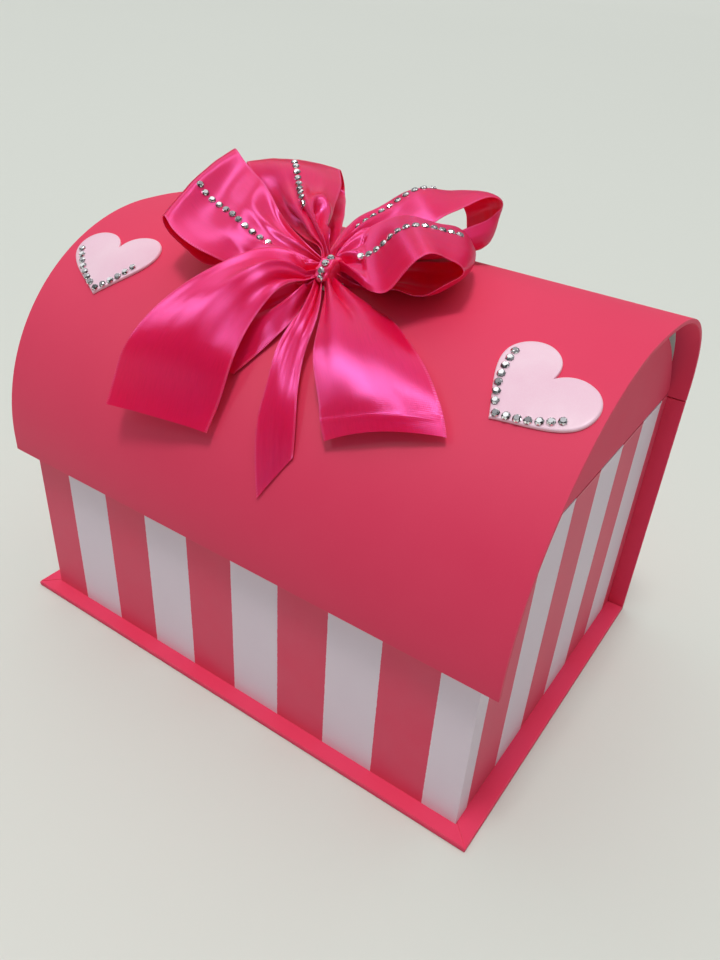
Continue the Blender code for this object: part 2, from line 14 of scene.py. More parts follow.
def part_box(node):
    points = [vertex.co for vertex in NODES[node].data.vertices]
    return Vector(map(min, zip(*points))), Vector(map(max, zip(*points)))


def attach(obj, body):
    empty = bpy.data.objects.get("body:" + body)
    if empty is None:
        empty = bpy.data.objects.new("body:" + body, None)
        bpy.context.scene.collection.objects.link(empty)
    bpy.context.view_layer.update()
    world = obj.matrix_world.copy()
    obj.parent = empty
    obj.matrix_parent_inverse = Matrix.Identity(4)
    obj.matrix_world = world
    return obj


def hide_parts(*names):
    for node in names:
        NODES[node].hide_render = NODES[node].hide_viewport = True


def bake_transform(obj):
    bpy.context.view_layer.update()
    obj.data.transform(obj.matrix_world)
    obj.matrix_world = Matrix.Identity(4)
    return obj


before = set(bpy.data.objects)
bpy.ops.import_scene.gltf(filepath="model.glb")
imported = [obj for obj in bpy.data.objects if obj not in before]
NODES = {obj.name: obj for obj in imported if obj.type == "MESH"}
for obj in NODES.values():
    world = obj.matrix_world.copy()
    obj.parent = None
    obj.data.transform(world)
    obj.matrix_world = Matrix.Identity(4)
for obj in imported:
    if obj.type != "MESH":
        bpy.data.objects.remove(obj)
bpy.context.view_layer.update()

MM = 0.001

# lid cover, as in the frame
LID_ARC_Y = 7.2 * MM
LID_ARC_Z = 106.5 * MM
LID_ARC_R = 111 * MM
LID_REAR_Z = 152 * MM
LID_REAR_POWER = 2.5
COVER_T = 2.2 * MM
CREASE_Z = 150.5 * MM
REBATE_TOP = 158 * MM     # where the hinge paper ends in the cover's back
HALF_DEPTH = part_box("lid_cover")[1].y
HALF_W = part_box("lid_cover")[1].x
FLAP_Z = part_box("lid_cover")[0].z
BASE_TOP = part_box("base_board")[1].z
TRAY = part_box("stripe_wrap")
TRAY_FRONT_TOP_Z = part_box("tray_front")[1].z
SHOULDER_R = 106 * MM
SHARP = math.radians(40)  # a board's edge sharper than this is rounded

# ribbon and trimmings
RIBBON_W = 54 * MM
NARROW = {"tail_under": 30 * MM, "tail_middle": 21 * MM}   # tails of narrower ribbon
RIBBON_T = 0.32 * MM
RIBBON_COLUMNS = 45
RIBBON_ROW = 1.2 * MM     # about how far apart the rows of points are along a ribbon
STONE_D = 4.0 * MM
STONE_H = 1.2 * MM
STONE_PITCH = 4.4 * MM
HEART_T = 1.6 * MM
KNOT_AT = (7 * MM, 33.8 * MM, 9.5 * MM)
KNOT_R = (4.2 * MM, 8.2 * MM, 6.4 * MM)
KNOT_STONES = 4
KNOT_REACH = 0.6          # how far a ribbon's end runs on towards the knot's centre
KNOT_SQUEEZE = 0.8        # its width there, as a share of its end station
KNOT_ROWS = 5             # rows of a tail on its way into the knot
KNOT_FIRST_ANGLE = -18
KNOT_STONE_STEP = 35

# Loops: each station is the near edge, the middle and the far edge of the ribbon.
LOOPS = {
    "bow_loop_left": [
        ((-2, -29, 221), (-4, -24, 221), (-5, -20, 223)),
        ((-20, -38, 219), (-24, -25, 224), (-25, -15, 229)),
        ((-40, -44, 217), (-45, -27, 230), (-50, -4, 241)),
        ((-54, -53, 224), (-64, -25, 237), (-66, 1, 250)),
        ((-70, -53, 231), (-75, -25, 242), (-76, 4, 254)),
        ((-78, -49, 233), (-82, -22, 245), (-82, 7, 255)),
        ((-80, -47, 228), (-85, -18, 240), (-85, 10, 251)),
        ((-68, -46, 218), (-75, -21, 229), (-76, 4, 239)),
        ((-46, -40, 213), (-49, -26, 218), (-49, -11, 224)),
        ((-4, -26, 217), (-5, -21, 217), (-6, -17, 218)),
    ],
    "bow_loop_back": [
        ((-8, -17, 227), (-7, -16, 228), (-4, -15, 227)),
        ((-34, -2, 226), (-25, -5, 237), (-15, 0, 232)),
        ((-58, 7, 235), (-43, 11, 244), (-26, 21, 238)),
        ((-78, 15, 244), (-58, 26, 250), (-37, 39, 244)),
        ((-88, 22, 247), (-67, 35, 250), (-43, 47, 246)),
        ((-91, 27, 242), (-70, 40, 245), (-43, 50, 239)),
        ((-74, 20, 230), (-55, 28, 231), (-30, 34, 230)),
        ((-38, 0, 221), (-28, 3, 224), (-13, 5, 223)),
        ((-9, -14, 221), (-7, -13, 222), (-5, -12, 221)),
    ],
    "bow_loop_right": [
        ((3, -17, 225), (0, -14, 226), (-3, -12, 225)),
        ((17, 1, 229), (0, 9, 234), (-11, 22, 230)),
        ((32, 22, 239), (10, 38, 246), (-2, 57, 236)),
        ((38, 39, 245), (20, 57, 246), (7, 74, 236)),
        ((44, 53, 247), (29, 69, 244), (12, 81, 234)),
        ((48, 59, 244), (37, 74, 240), (17, 83, 228)),
        ((47, 57, 239), (42, 68, 232), (21, 78, 222)),
        ((40, 42, 234), (45, 52, 224), (28, 64, 218)),
        ((30, 21, 229), (34, 27, 221), (21, 41, 220)),
        ((4, -15, 221), (2, -12, 221), (-1, -9, 221)),
    ],
    "bow_loop_front": [
        ((10, -27, 223), (7, -23, 224), (5, -19, 225)),
        ((36, -40, 223), (18, -21, 229), (7, -2, 235)),
        ((52, -42, 232), (29, -15, 238), (16, 10, 240)),
        ((60, -35, 242), (39, -9, 244), (26, 16, 241)),
        ((66, -26, 241), (50, 0, 243), (38, 22, 239)),
        ((70, -20, 234), (61, 6, 235), (47, 28, 233)),
        ((69, -22, 231), (64, 3, 229), (54, 25, 229)),
        ((62, -28, 225), (59, -8, 223), (51, 13, 227)),
        ((45, -27, 220), (41, -15, 220), (36, -1, 225)),
        ((12, -26, 217), (10, -22, 218), (8, -18, 219)),
    ],
}

# Tails: left edge and right edge as (across, down from the ridge, above the lid), then the middle's bulge.
TAILS = {
    "tail_left": [
        ((-4, 37, 11), (0, 43, 8), 0),
        ((-20, 39, 16), (-4, 51, 12), 3),
        ((-36, 58, 20), (-7, 62, 12), 4),
        ((-51, 78, 20), (-8, 75, 11), 4),
        ((-62, 98, 17), (-8, 89, 9), 3),
        ((-66, 112, 13), (-8, 104, 6), 2),
        ((-67, 127, 10), (-10.5, 122, 2.2), 1),
    ],
    "tail_under": [
        ((-3, 45, 6), (2, 43, 5), 0),
        ((-10, 53, 7), (4, 55, 4), 1),
        ((-20, 63, 7), (3, 66, 3), 1),
        ((-30, 77, 5), (-3, 81, 2), 1),
        ((-36, 92, 3), (-10, 94, 1.2), 1),
    ],
    "tail_middle": [
        ((3, 42, 7), (7, 40, 7), 0),
        ((9, 59, 9), (18, 60, 7), 1),
        ((10, 78, 9), (22, 75, 6), 1),
        ((12, 93, 7), (27, 90, 5), 1),
        ((13.5, 107, 4.5), (31, 101, 3), 1),
        ((17.3, 122, 2.5), (34, 110, 2.2), 0.5),
        ((22.8, 142, 1.2), (35.8, 118, 1.5), 0),
    ],
    "tail_right": [
        ((7, 38, 8), (9, 35, 6), 0),
        ((16, 51, 10), (27, 41, 4), 2),
        ((25, 66, 12), (41, 42, 3), 3),
        ((32, 80, 11), (63, 54, 6), 4),
        ((41, 93, 7.5), (81, 67, 6), 4),
        ((45, 100, 5.2), (95, 81, 4.2), 3),
        ((49.5, 106, 3), (99, 87, 2.5), 2),
    ],
}

# Pleats of each ribbon: how many waves across, their phase, the seed of its small creases, and the
# distance from the knot, in millimetres, where they have half faded.
PLEATS = {
    "bow_loop_left": (3.0, 0.6, 1, 34),
    "bow_loop_back": (3.5, 3.3, 2, 42),
    "bow_loop_right": (3.5, 3.4, 3, 42),
    "bow_loop_front": (2.5, 0.2, 4, 26),
    "tail_left": (2.0, 1.2, 5, 34),
    "tail_under": (1.5, 0.0, 6, 24),
    "tail_middle": (1.5, 2.6, 7, 30),
    "tail_right": (2.0, 4.3, 8, 30),
}

# A hollow pinched into a loop: its distance from the knot, its side, half length, half width and depth.
TUCKS = {"bow_loop_back": (33 * MM, 0.60, 15 * MM, 0.30, 6 * MM)}

# Slow waves along each ribbon: height, length and phase.
BILLOWS = {
    "bow_loop_left": (0.9 * MM, 34 * MM, 0.4),
    "bow_loop_back": (0.7 * MM, 30 * MM, 1.0),
    "bow_loop_right": (0.7 * MM, 36 * MM, 2.0),
    "bow_loop_front": (0.8 * MM, 32 * MM, 0.0),
    "tail_left": (0.4 * MM, 48 * MM, 2.4),
    "tail_under": (0.4 * MM, 30 * MM, 0.0),
    "tail_middle": (0.6 * MM, 50 * MM, 3.8),
    "tail_right": (0.4 * MM, 64 * MM, 4.7),
}

# How the free end of a tail turns up: how far, and over what length.
CURLS = {"tail_left": (3.0 * MM, 24 * MM), "tail_right": (1.3 * MM, 15 * MM)}
# A pressed crease across a tail: its distance from the free end, its height and its width.
CREASES = {"tail_right": (9 * MM, 0.35 * MM, 0.8 * MM)}
# How deep the free end's middle is cut back.
CUTS = {"tail_right": 2.8 * MM, "tail_left": 0.8 * MM}

# Rows of stones on the loops: distance of the first stone along the ribbon from the knot, how many, pitch.
LOOP_STONES = {
    "bow_loop_left": (29 * MM, 11, 4.9 * MM),
    "bow_loop_back": (20 * MM, 11, 5.0 * MM),
    "bow_loop_right": (20 * MM, 10, 5.3 * MM),
    "bow_loop_front": (13 * MM, 13, 4.1 * MM),
}

# Hearts: tip across and down the lid, and how far each leans to the right, in degrees.
HEARTS = {
    "heart_left": (-115 * MM, 81.5 * MM, -10),
    "heart_right": (110 * MM, 73 * MM, 31),
}
HEART_EDGE_ANGLE = 47
HEART_ROWS = {
    "heart_left_stones_left": ("heart_left", -1, 7.6, 7),
    "heart_left_stones_right": ("heart_left", 1, 2.6, 6),
    "heart_right_stones_left": ("heart_right", -1, 7.6, 7),
    "heart_right_stones_right": ("heart_right", 1, 2.6, 7),
}

CORAL = (0.80, 0.043, 0.118)
WHITE_STRIPE = (0.84, 0.72, 0.81)
FIBRE = 2600.0            # how fine the grain of the covering paper is


# ---------------------------------------------------------------- camera, floor and light

def make_camera():
    """The camera looks down on the box's front and its right side."""
    data = bpy.data.cameras.new("camera")
    data.sensor_width = 36
    data.lens = 30.851
    data.clip_start = 0.01
    data.clip_end = 200
    camera = bpy.data.objects.new("camera", data)
    bpy.context.scene.collection.objects.link(camera)
    right = Vector((0.81992, 0.56967, 0.05668))
    down = Vector((0.35105, -0.42211, -0.83582))
    forward = Vector((-0.45221, 0.70520, -0.54608))
    turn = Matrix((right, -down, -forward)).transposed().to_4x4()
    camera.matrix_world = Matrix.Translation((0.22390, -0.32931, 0.34889)) @ turn
    bpy.context.scene.camera = camera


def sun(name, direction, energy, spread, colour, diffuse=True):
    """A distant soft light; direction points from the object to the light, spread is in degrees."""
    data = bpy.data.lights.new(name, "SUN")
    data.energy = energy
    data.angle = math.radians(spread)
    data.color = colour
    light = bpy.data.objects.new(name, data)
    bpy.context.scene.collection.objects.link(light)
    light.rotation_mode = "QUATERNION"
    light.rotation_quaternion = (-Vector(direction)).to_track_quat("-Z", "Y")
    light.visible_diffuse = diffuse


def make_light():
    """A soft light and a narrower key from overhead, a sheen light from the front left, a pale surround."""
    sun("overhead", (-0.22, 0.30, 0.93), 0.88, 90, (1.0, 1.0, 1.0))
    sun("key", (0.02, -0.20, 0.98), 1.28, 12, (1.0, 0.99, 0.97))
    sun("sheen", (-0.45, -0.54, 0.71), 1.60, 12, (1.0, 0.98, 1.0), diffuse=False)

    kit = Nodes("surround", bpy.data.worlds)
    direction = kit.add("ShaderNodeTexCoord").outputs["Generated"]
    sky = kit.ramp(kit.parts(direction)[2],
                   [(0.0, (0.18, 0.19, 0.19)), (0.45, (0.15, 0.16, 0.17)), (1.0, (0.60, 0.61, 0.62))])
    backdrop = kit.add("ShaderNodeLightPath").outputs["Is Camera Ray"]
    kit.link(kit.mix(backdrop, sky, (0.72, 0.73, 0.69)), kit.tree.nodes["Background"].inputs["Color"])
    bpy.context.scene.world = kit.owner
    bpy.context.scene.view_settings.view_transform = "Standard"


def make_floor():
    """A plain pale floor."""
    bm = bmesh.new()
    bmesh.ops.create_circle(bm, cap_ends=True, segments=128, radius=40)
    mesh = bpy.data.meshes.new("floor")
    bm.to_mesh(mesh)
    bm.free()
    floor = bpy.data.objects.new("floor", mesh)
    bpy.context.scene.collection.objects.link(floor)
    floor.location.z = -0.2 * MM
    kit = Nodes("floor_paint")
    shade = kit.add("ShaderNodeTexNoise", Scale=6.0, Detail=3.0)
    tone = kit.ramp(shade.outputs["Fac"], [(0.3, (0.650, 0.675, 0.620)), (0.7, (0.690, 0.715, 0.660))])
    kit.shader({"Roughness": 0.6}, tone)
    mesh.materials.append(kit.owner)


# ---------------------------------------------------------------- materials

class Nodes:
    """A small helper that builds the nodes of one material, or of a world."""

    def __init__(self, name, library=bpy.data.materials):
        self.owner = library.new(name)
        self.owner.use_nodes = True
        self.tree = self.owner.node_tree

    def add(self, kind, **values):
        """A node with some of its input sockets set by name."""
        node = self.tree.nodes.new(kind)
        for key, value in values.items():
            node.inputs[key].default_value = value
        return node

    def link(self, source, target):
        self.tree.links.new(source, target)

    def object_coordinates(self):
        return self.add("ShaderNodeTexCoord").outputs["Object"]

    def attribute(self, name):
        """The value of a mesh attribute."""
        node = self.add("ShaderNodeAttribute")
        node.attribute_name = name
        return node.outputs["Fac"]

    def parts(self, source):
        """The three parts of a vector."""
        node = self.add("ShaderNodeSeparateXYZ")
        self.link(source, node.inputs[0])
        return node.outputs

    def scaled(self, source, scale):
        """A vector multiplied by a fixed vector."""
        node = self.add("ShaderNodeVectorMath")
        node.operation = "MULTIPLY"
        self.link(source, node.inputs[0])
        node.inputs[1].default_value = scale
        return node.outputs[0]

    def noise(self, source, scale, detail=4.0, rough=0.5):
        node = self.add("ShaderNodeTexNoise", Scale=scale, Detail=detail, Roughness=rough)
        self.link(source, node.inputs["Vector"])
        return node.outputs["Fac"]

    def maths(self, operation, first, second=None, third=None):
        """A Math node whose inputs are sockets or numbers."""
        node = self.tree.nodes.new("ShaderNodeMath")
        node.operation = operation
        for socket, value in zip(node.inputs, (first, second, third)):
            if value is None:
                continue
            if isinstance(value, (int, float)):
                socket.default_value = value
            else:
                self.link(value, socket)
        return node.outputs[0]

    def wave(self, source, length):
        """A sine of source that repeats at every length."""
        return self.maths("SINE", self.maths("MULTIPLY", source, math.tau / length))

    def ramp(self, source, stops):
        """Colours along a factor, as (position, colour) stops."""
        node = self.tree.nodes.new("ShaderNodeValToRGB")
        elements = node.color_ramp.elements
        while len(elements) < len(stops):
            elements.new(0.5)
        for element, (position, colour) in zip(elements, stops):
            element.position = position
            element.color = (*colour, 1)
        self.link(source, node.inputs["Fac"])
        return node.outputs["Color"]

    def mix(self, factor, first, second):
        """Mix two colours, each a socket or an RGB value."""
        node = self.tree.nodes.new("ShaderNodeMix")
        node.data_type = "RGBA"
        self.link(factor, node.inputs[0])
        for socket, value in ((node.inputs[6], first), (node.inputs[7], second)):
            if isinstance(value, tuple):
                socket.default_value = (*value, 1)
            else:
                self.link(value, socket)
        return node.outputs[2]

    def span(self, source, low, high, new_low, new_high):
        """Map a range of values to another."""
        node = self.add("ShaderNodeMapRange")
        self.link(source, node.inputs["Value"])
        for key, value in (("From Min", low), ("From Max", high), ("To Min", new_low), ("To Max", new_high)):
            node.inputs[key].default_value = value
        return node.outputs[0]

    def edges(self, radius, strength):
        """A mask that rises on outer and inner edges, up to strength."""
        rounded = self.add("ShaderNodeBevel", Radius=radius)
        rounded.samples = 4
        geometry = self.add("ShaderNodeNewGeometry")
        turn = self.add("ShaderNodeVectorMath")
        turn.operation = "DOT_PRODUCT"
        self.link(rounded.outputs[0], turn.inputs[0])
        self.link(geometry.outputs["Normal"], turn.inputs[1])
        return self.span(turn.outputs["Value"], 0.98, 0.80, 0.0, strength)

    def bump(self, height, strength, distance):
        node = self.add("ShaderNodeBump", Strength=strength, Distance=distance)
        self.link(height, node.inputs["Height"])
        return node.outputs["Normal"]

    def paper_relief(self, at, grain):
        """The relief of covering paper: its fibre grain over slower ripples."""
        ripple = self.maths("MULTIPLY", self.noise(at, 420.0, 4.0), 0.8)
        return self.bump(self.maths("ADD", grain, ripple), 0.22, 0.05 * MM)

    def shader(self, values, colour, roughness=None, normal=None, tangent=None):
        """Set the shader's fixed values, link what varies over the surface, and give the material."""
        inputs = self.tree.nodes["Principled BSDF"].inputs
        for key, value in values.items():
            socket = inputs[key]
            if isinstance(value, tuple) and socket.type == "RGBA":
                value = (*value, 1)
            socket.default_value = value
        linked = {"Base Color": colour, "Roughness": roughness, "Normal": normal, "Tangent": tangent}
        for key, source in linked.items():
            if source is not None:
                self.link(source, inputs[key])
        return self.owner


def coral_paper():
    """Smooth coral covering paper: fibre grain, soft mottling, and paler outer and inner edges."""
    kit = Nodes("coral_paper_grain")
    at = kit.object_coordinates()
    grain = kit.noise(at, FIBRE, 3.0, 0.65)
    cloud = kit.noise(at, 22.0, 4.0, 0.55)
    mottled = kit.mix(kit.span(cloud, 0.35, 0.65, 0.0, 0.10), CORAL, (0.90, 0.10, 0.18))
    flecked = kit.mix(kit.span(grain, 0.62, 0.78, 0.0, 0.10), mottled, (0.98, 0.55, 0.60))
    patchy = kit.span(kit.noise(at, 140.0), 0.35, 0.65, 0.2, 1.0)
    # Paler on outer and inner edges, in patches.
    pale_edged = kit.mix(kit.maths("MULTIPLY", kit.edges(0.7 * MM, 0.2), patchy), flecked, (0.95, 0.42, 0.48))
    return kit.shader({"Sheen Weight": 0.04, "Sheen Roughness": 0.5, "Specular IOR Level": 0.2}, pale_edged,
                      kit.span(cloud, 0.3, 0.7, 0.56, 0.66), kit.paper_relief(at, grain))


def striped_paper():
    """Coral and white printed stripes that run round the tray without a break."""
    kit = Nodes("striped_paper_print")
    at = kit.object_coordinates()
    along, depth = kit.parts(at)[:2]
    from_left = kit.maths("SUBTRACT", along, TRAY[0].x)
    behind = kit.maths("SUBTRACT", depth, TRAY[0].y)
    inner_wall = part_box("tray_lining")[1].x - 1 * MM
    on_side = kit.maths("GREATER_THAN", kit.maths("ABSOLUTE", along), inner_wall)
    side = kit.maths("MULTIPLY", kit.maths("SIGN", along), on_side)
    run = kit.maths("MULTIPLY_ADD", side, behind, from_left)
    stripe, first_stripe = 30 * MM, 25.05 * MM
    whole_turns = 8.0                                            # keeps the phase above zero
    waver = kit.span(kit.noise(at, 700.0, 2.0), 0.0, 1.0, -0.004, 0.004)
    phase = kit.maths("DIVIDE", kit.maths("SUBTRACT", run, first_stripe), 2 * stripe)
    phase = kit.maths("FRACT", kit.maths("ADD", kit.maths("ADD", phase, waver), whole_turns))
    printed = kit.mix(kit.maths("GREATER_THAN", phase, 0.5), WHITE_STRIPE, CORAL)
    grain = kit.noise(at, FIBRE, 3.0, 0.65)
    cloud = kit.noise(at, 26.0, 4.0, 0.55)
    shaded = kit.mix(kit.span(cloud, 0.3, 0.7, 0.0, 0.07), printed, (0.62, 0.50, 0.60))
    flecked = kit.mix(kit.span(grain, 0.62, 0.80, 0.0, 0.08), shaded, (0.95, 0.70, 0.74))
    # Paler on outer and inner edges.
    pale_edged = kit.mix(kit.edges(0.6 * MM, 0.12), flecked, (0.93, 0.80, 0.82))
    return kit.shader({"Sheen Weight": 0.04, "Specular IOR Level": 0.34}, pale_edged,
                      kit.span(cloud, 0.3, 0.7, 0.44, 0.54), kit.paper_relief(at, grain))


def greyboard():
    """Cut edges of grey recycled board, with fibres and layers."""
    kit = Nodes("greyboard_fibre")
    fibre = kit.noise(kit.scaled(kit.object_coordinates(), (1.0, 1.0, 6.0)), 520.0, 5.0, 0.7)
    tone = kit.ramp(fibre, [(0.30, (0.27, 0.255, 0.235)), (0.55, (0.40, 0.38, 0.35)),
                            (0.75, (0.53, 0.50, 0.46))])
    return kit.shader({"Specular IOR Level": 0.25}, tone, kit.span(fibre, 0.3, 0.7, 0.78, 0.95),
                      kit.bump(fibre, 0.5, 0.12 * MM))


def lining_paper():
    """Matt white lining paper with a faint laid texture."""
    kit = Nodes("lining_paper_laid")
    at = kit.object_coordinates()
    grain = kit.noise(at, 1500.0, 4.0, 0.6)
    tone = kit.ramp(kit.noise(at, 30.0, 3.0), [(0.3, (0.80, 0.80, 0.77)), (0.7, (0.87, 0.87, 0.85))])
    return kit.shader({"Specular IOR Level": 0.3}, tone, kit.span(grain, 0.3, 0.7, 0.62, 0.78),
                      kit.bump(grain, 0.25, 0.05 * MM))


def foam_pad():
    """White self-adhesive foam, with fine cells and painted shade in their hollows."""
    kit = Nodes("foam_pad_cells")
    foam = kit.add("ShaderNodeTexVoronoi", Scale=1600.0)
    kit.link(kit.object_coordinates(), foam.inputs["Vector"])
    cells = foam.outputs["Distance"]
    # Painted shade: darker towards each cell's hollow, where the bump is lowest.
    tone = kit.ramp(cells, [(0.0, (0.62, 0.62, 0.60)), (0.6, (0.88, 0.88, 0.86))])
    return kit.shader({"Specular IOR Level": 0.2}, tone, kit.span(cells, 0.0, 0.6, 0.95, 0.8),
                      kit.bump(cells, 0.6, 0.15 * MM))


def satin_ribbon():
    """Hot pink satin: long floats of thread along the ribbon, and a firm woven selvedge at each edge."""
    kit = Nodes("satin_ribbon_weave")
    uv = kit.add("ShaderNodeUVMap")
    uv.uv_map = "weave"
    across, along = kit.parts(uv.outputs[0])[:2]
    thread, pick, selvedge_pick = 0.75, 0.8, 0.9                 # millimetres between threads
    slant = 0.55
    twill = kit.wave(kit.maths("ADD", across, kit.maths("MULTIPLY", along, slant)), thread)
    weft = kit.wave(along, pick)
    picks = kit.wave(along, selvedge_pick)
    slub = kit.noise(kit.scaled(uv.outputs[0], (2.2, 0.12, 1.0)), 1.0, 4.0, 0.6)
    selvedge = kit.span(kit.attribute("inset"), 1.3, 0.9, 0.0, 1.0)

    body = kit.ramp(slub, [(0.30, (0.84, 0.004, 0.052)), (0.52, (0.91, 0.005, 0.070)),
                           (0.75, (0.95, 0.007, 0.086))])
    drift = kit.noise(kit.object_coordinates(), 55.0, 2.0)
    tinted = kit.mix(kit.span(drift, 0.3, 0.7, 0.0, 0.25), body, (0.92, 0.005, 0.092))
    edge_tone = kit.maths("MULTIPLY", selvedge, kit.span(picks, -1.0, 1.0, 0.05, 0.30))
    colour = kit.mix(edge_tone, tinted, (1.0, 0.22, 0.42))

    weave = kit.maths("ADD", kit.maths("MULTIPLY", twill, 0.5), kit.maths("MULTIPLY", weft, 0.35))
    weave = kit.maths("ADD", weave, kit.maths("MULTIPLY", slub, 1.2))
    hem = kit.maths("MULTIPLY", selvedge, kit.maths("ADD", kit.maths("MULTIPLY", picks, 1.2), 1.0))
    tangent = kit.add("ShaderNodeTangent")
    tangent.direction_type = "UV_MAP"
    tangent.uv_map = "weave"
    return kit.shader({"IOR": 1.9, "Specular IOR Level": 0.6, "Specular Tint": (1.0, 0.24, 0.80),
                       "Anisotropic": 0.95, "Sheen Weight": 0.06, "Sheen Roughness": 0.35,
                       "Sheen Tint": (1.0, 0.12, 0.42), "Subsurface Weight": 0.8,
                       "Subsurface Radius": (1.0, 0.06, 0.20), "Subsurface Scale": 1.4 * MM},
                      colour, kit.span(slub, 0.3, 0.7, 0.30, 0.38),
                      kit.bump(kit.maths("ADD", weave, hem), 0.22, 0.06 * MM), tangent.outputs[0])


def pink_card():
    """Pale pink pearly card."""
    kit = Nodes("pink_card_pearl")
    at = kit.object_coordinates()
    grain = kit.noise(at, 2400.0, 3.0)
    tone = kit.ramp(kit.noise(at, 45.0, 3.0), [(0.30, (0.90, 0.57, 0.70)), (0.70, (0.94, 0.66, 0.77))])
    pearl = kit.mix(kit.span(grain, 0.45, 0.75, 0.0, 0.2), tone, (1.0, 0.86, 0.91))
    return kit.shader({"Sheen Weight": 0.25, "Coat Weight": 0.12, "Coat Roughness": 0.25,
                       "Specular Tint": (1.0, 0.86, 0.93)},
                      pearl, kit.span(grain, 0.3, 0.7, 0.30, 0.42), kit.bump(grain, 0.12, 0.04 * MM))


def rhinestone():
    """Foil-backed acrylic with painted reflections: each facet is painted a lighter or a darker tone for
    what it would mirror.
    """
    kit = Nodes("rhinestone_painted_glints")
    # The facet tones are painted reflections and glints.
    tone = kit.ramp(kit.attribute("facet"), [(0.0, (0.06, 0.06, 0.065)), (0.35, (0.36, 0.36, 0.38)),
                                             (0.6, (0.80, 0.81, 0.82)), (1.0, (1.0, 1.0, 1.0))])
    scuff = kit.noise(kit.object_coordinates(), 900.0, 2.0)
    return kit.shader({"Metallic": 0.9, "Coat Weight": 1.0, "Coat Roughness": 0.03,
                       "Specular IOR Level": 0.7}, tone, kit.span(scuff, 0.3, 0.7, 0.05, 0.12))


# ---------------------------------------------------------------- mesh helpers

def place_object(name, mesh, slot, body, replaced=()):
    """Link a mesh as a piece with the finish of its slot, under its body, and hide the frame nodes it stands
    for.
    """
    mesh.materials.append(FINISHES[slot])
    piece = bpy.data.objects.new(name, mesh)
    bpy.context.scene.collection.objects.link(piece)
    if body is not None:
        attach(piece, body)
    if replaced:
        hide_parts(*replaced)
    return piece


def mesh_from(bm, name, sharp_angle=None):
    """Turn a bmesh into a mesh with its faces pointing out, smooth but for its sharp edges."""
    bmesh.ops.recalc_face_normals(bm, faces=bm.faces)
    mesh = bpy.data.meshes.new(name)
    bm.to_mesh(mesh)
    bm.free()
    if sharp_angle is not None:
        mesh.shade_smooth()
        mesh.set_sharp_from_angle(angle=math.radians(sharp_angle))
    return mesh


def close_ring(bm, ring, point):
    """A fan of triangles from a ring of vertices to a point."""
    hub = bm.verts.new(point)
    for first, second in zip(ring, ring[1:] + ring[:1]):
        bm.faces.new((first, second, hub))


def extruded(points, offset):
    """The solid that a face over the points sweeps when it moves by offset."""
    bm = bmesh.new()
    face = bm.faces.new([bm.verts.new(point) for point in points])
    result = bmesh.ops.extrude_face_region(bm, geom=[face])
    moved = [item for item in result["geom"] if isinstance(item, bmesh.types.BMVert)]
    bmesh.ops.translate(bm, verts=moved, vec=offset)
    return bm


def distances(line):
    """How far along a line each of its points is."""
    return np.concatenate(([0], np.cumsum(np.linalg.norm(np.diff(line, axis=0), axis=1))))


def sample_spline(values, knots, places):
    """Values of the natural cubic spline through values at knots, read at places."""
    n = len(knots)
    step = np.diff(knots)
    slope = np.diff(values, axis=0) / step[:, None]
    system = np.eye(n)
    right = np.zeros_like(values)
    for i in range(1, n - 1):
        system[i, i - 1] = step[i - 1]
        system[i, i] = 2 * (step[i - 1] + step[i])
        system[i, i + 1] = step[i]
        right[i] = 6 * (slope[i] - slope[i - 1])
    bend = np.linalg.solve(system, right)
    index = np.clip(np.searchsorted(knots, places, side="right") - 1, 0, n - 2)
    h = step[index][:, None]
    a = ((knots[index + 1] - places)[:, None]) / h
    b = 1 - a
    return (a * values[index] + b * values[index + 1]
            + ((a ** 3 - a) * bend[index] + (b ** 3 - b) * bend[index + 1]) * h * h / 6)


def grid_frame(grid):
    """Unit normals of a grid of points of shape rows, columns, 3."""
    along = np.gradient(grid, axis=0)
    across = np.gradient(grid, axis=1)
    normal = np.cross(along, across)
    return normal / np.maximum(np.linalg.norm(normal, axis=2, keepdims=True), 1e-12)


def sheet_mesh(name, grid, thickness, uv=None, sharp_angle=50):
    """A closed sheet over a grid of points; uv holds each point's place in millimetres."""
    rows, columns = grid.shape[:2]
    normal = grid_frame(grid)
    bm = bmesh.new()
    sides = []
    for sign in (0.5, -0.5):
        moved = grid + normal * (sign * thickness)
        sides.append([[bm.verts.new(moved[i, j]) for j in range(columns)] for i in range(rows)])
    top, bottom = sides
    layer = bm.loops.layers.uv.new("weave") if uv is not None else None

    def face(corners, spots):
        made = bm.faces.new(corners)
        if layer is not None:
            for loop, (i, j) in zip(made.loops, spots):
                loop[layer].uv = uv[i, j]

    for i in range(rows - 1):
        for j in range(columns - 1):
            spots = [(i, j), (i, j + 1), (i + 1, j + 1), (i + 1, j)]
            face([top[a][b] for a, b in spots], spots)
            face([bottom[a][b] for a, b in spots[::-1]], spots[::-1])
    rim = [(i, 0) for i in range(rows)]
    rim += [(rows - 1, j) for j in range(1, columns)]
    rim += [(i, columns - 1) for i in range(rows - 2, -1, -1)]
    rim += [(0, j) for j in range(columns - 2, 0, -1)]
    for (a, b), (c, d) in zip(rim, rim[1:] + rim[:1]):
        face([top[a][b], top[c][d], bottom[c][d], bottom[a][b]], [(a, b), (c, d), (c, d), (a, b)])
    return mesh_from(bm, name, sharp_angle)


def lid_point(across, down, above):
    """A point over the front half of the lid, from its place on the unrolled cover."""
    radius = LID_ARC_R + above
    quarter = LID_ARC_R * math.pi / 2
    if down <= quarter:
        angle = down / LID_ARC_R
        return Vector((across, LID_ARC_Y - radius * math.sin(angle), LID_ARC_Z + radius * math.cos(angle)))
    return Vector((across, LID_ARC_Y - radius, LID_ARC_Z - (down - quarter)))


def lid_normal(down):
    """The outward normal of the lid at a distance down from its ridge."""
    angle = min(down / LID_ARC_R, math.pi / 2)
    return Vector((0, -math.sin(angle), math.cos(angle)))


# ---------------------------------------------------------------- paper and board

